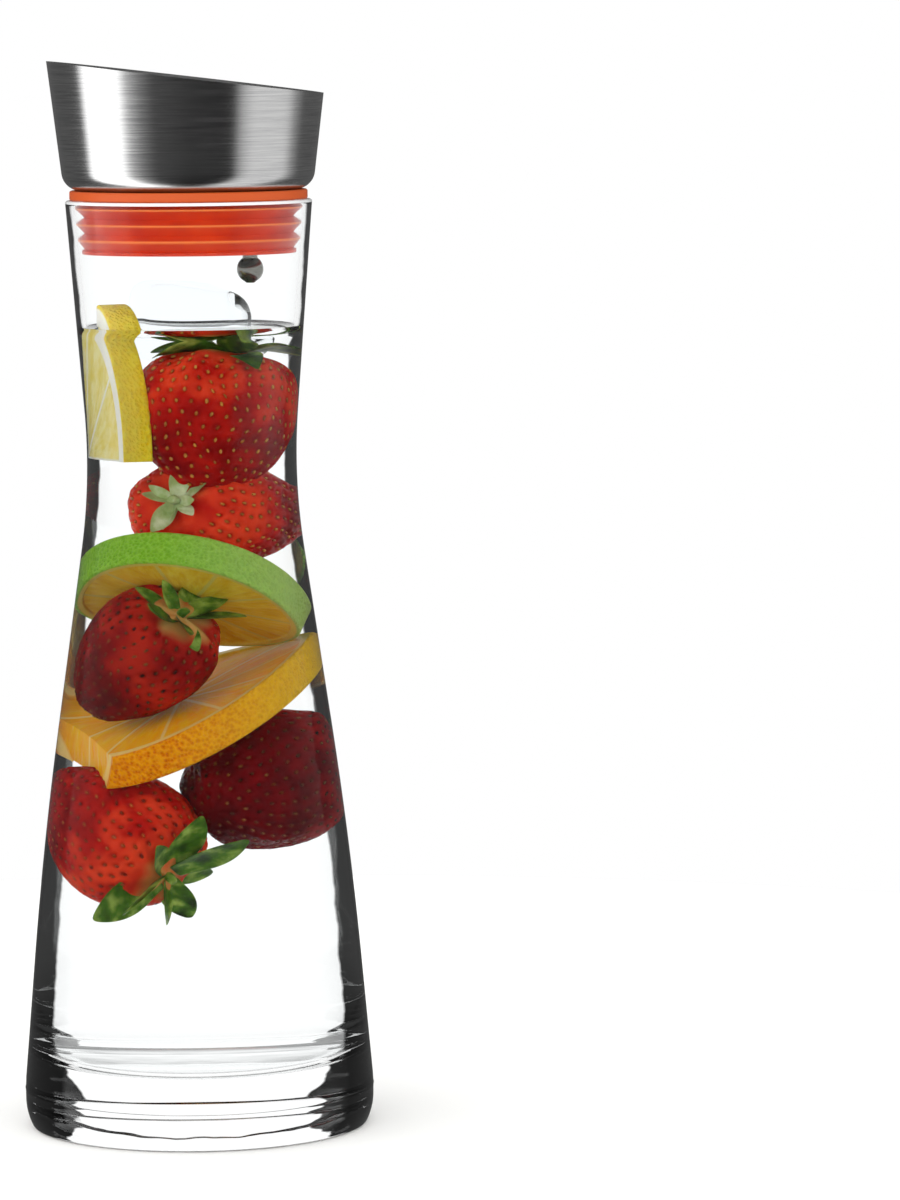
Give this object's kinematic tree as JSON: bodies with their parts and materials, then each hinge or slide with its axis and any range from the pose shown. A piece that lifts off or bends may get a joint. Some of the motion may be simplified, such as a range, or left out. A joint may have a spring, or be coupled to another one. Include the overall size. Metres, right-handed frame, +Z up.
{
  "type": "fruit infuser pitcher",
  "caption": "Waisted glass pitcher with a heavy foot and a slanted steel pouring lid on a ribbed silicone plug; a ball on a stem swings the lid's flap open when it is tipped.",
  "frame": {"origin": "on the table at the middle of the foot, the bottom centre of the bounding box", "axes": "+Z up along the carafe's axis, -X towards the high side of the slanted collar that it pours over, +X towards the flap's hinge"},
  "size_m": [0.1014, 0.1014, 0.3079],
  "materials": {
    "clear_glass": "clear, polished",
    "orange_silicone": "satin orange silicone",
    "white_plastic": "satin",
    "brushed_steel": "brushed round the collar",
    "sheet_steel": "satin sheet",
    "turned_steel": "bright turned"
  },
  "bodies": {
    "carafe": {"glass_carafe": "clear_glass"},
    "lid": {"silicone_plug": "orange_silicone", "plug_core": "white_plastic", "steel_collar": "brushed_steel", "valve_seat": "white_plastic", "strainer_disc": "sheet_steel", "hinge_pin": "turned_steel"},
    "flap": {"flap_disc": "sheet_steel", "hinge_barrel": "turned_steel", "counterweight_stem": "turned_steel", "counterweight_ball": "turned_steel"}
  },
  "joints": [
    {"name": "lid_lift", "type": "slide", "parent": "carafe", "child": "lid", "axis": [0, 0, 1], "range_m": [0, 0.08]},
    {"name": "flap_swing", "type": "hinge", "parent": "lid", "child": "flap", "pos_m": [0.01744, 0, 0.28074], "axis": [0, 1, 0], "range_deg": [0, 60]}
  ]
}
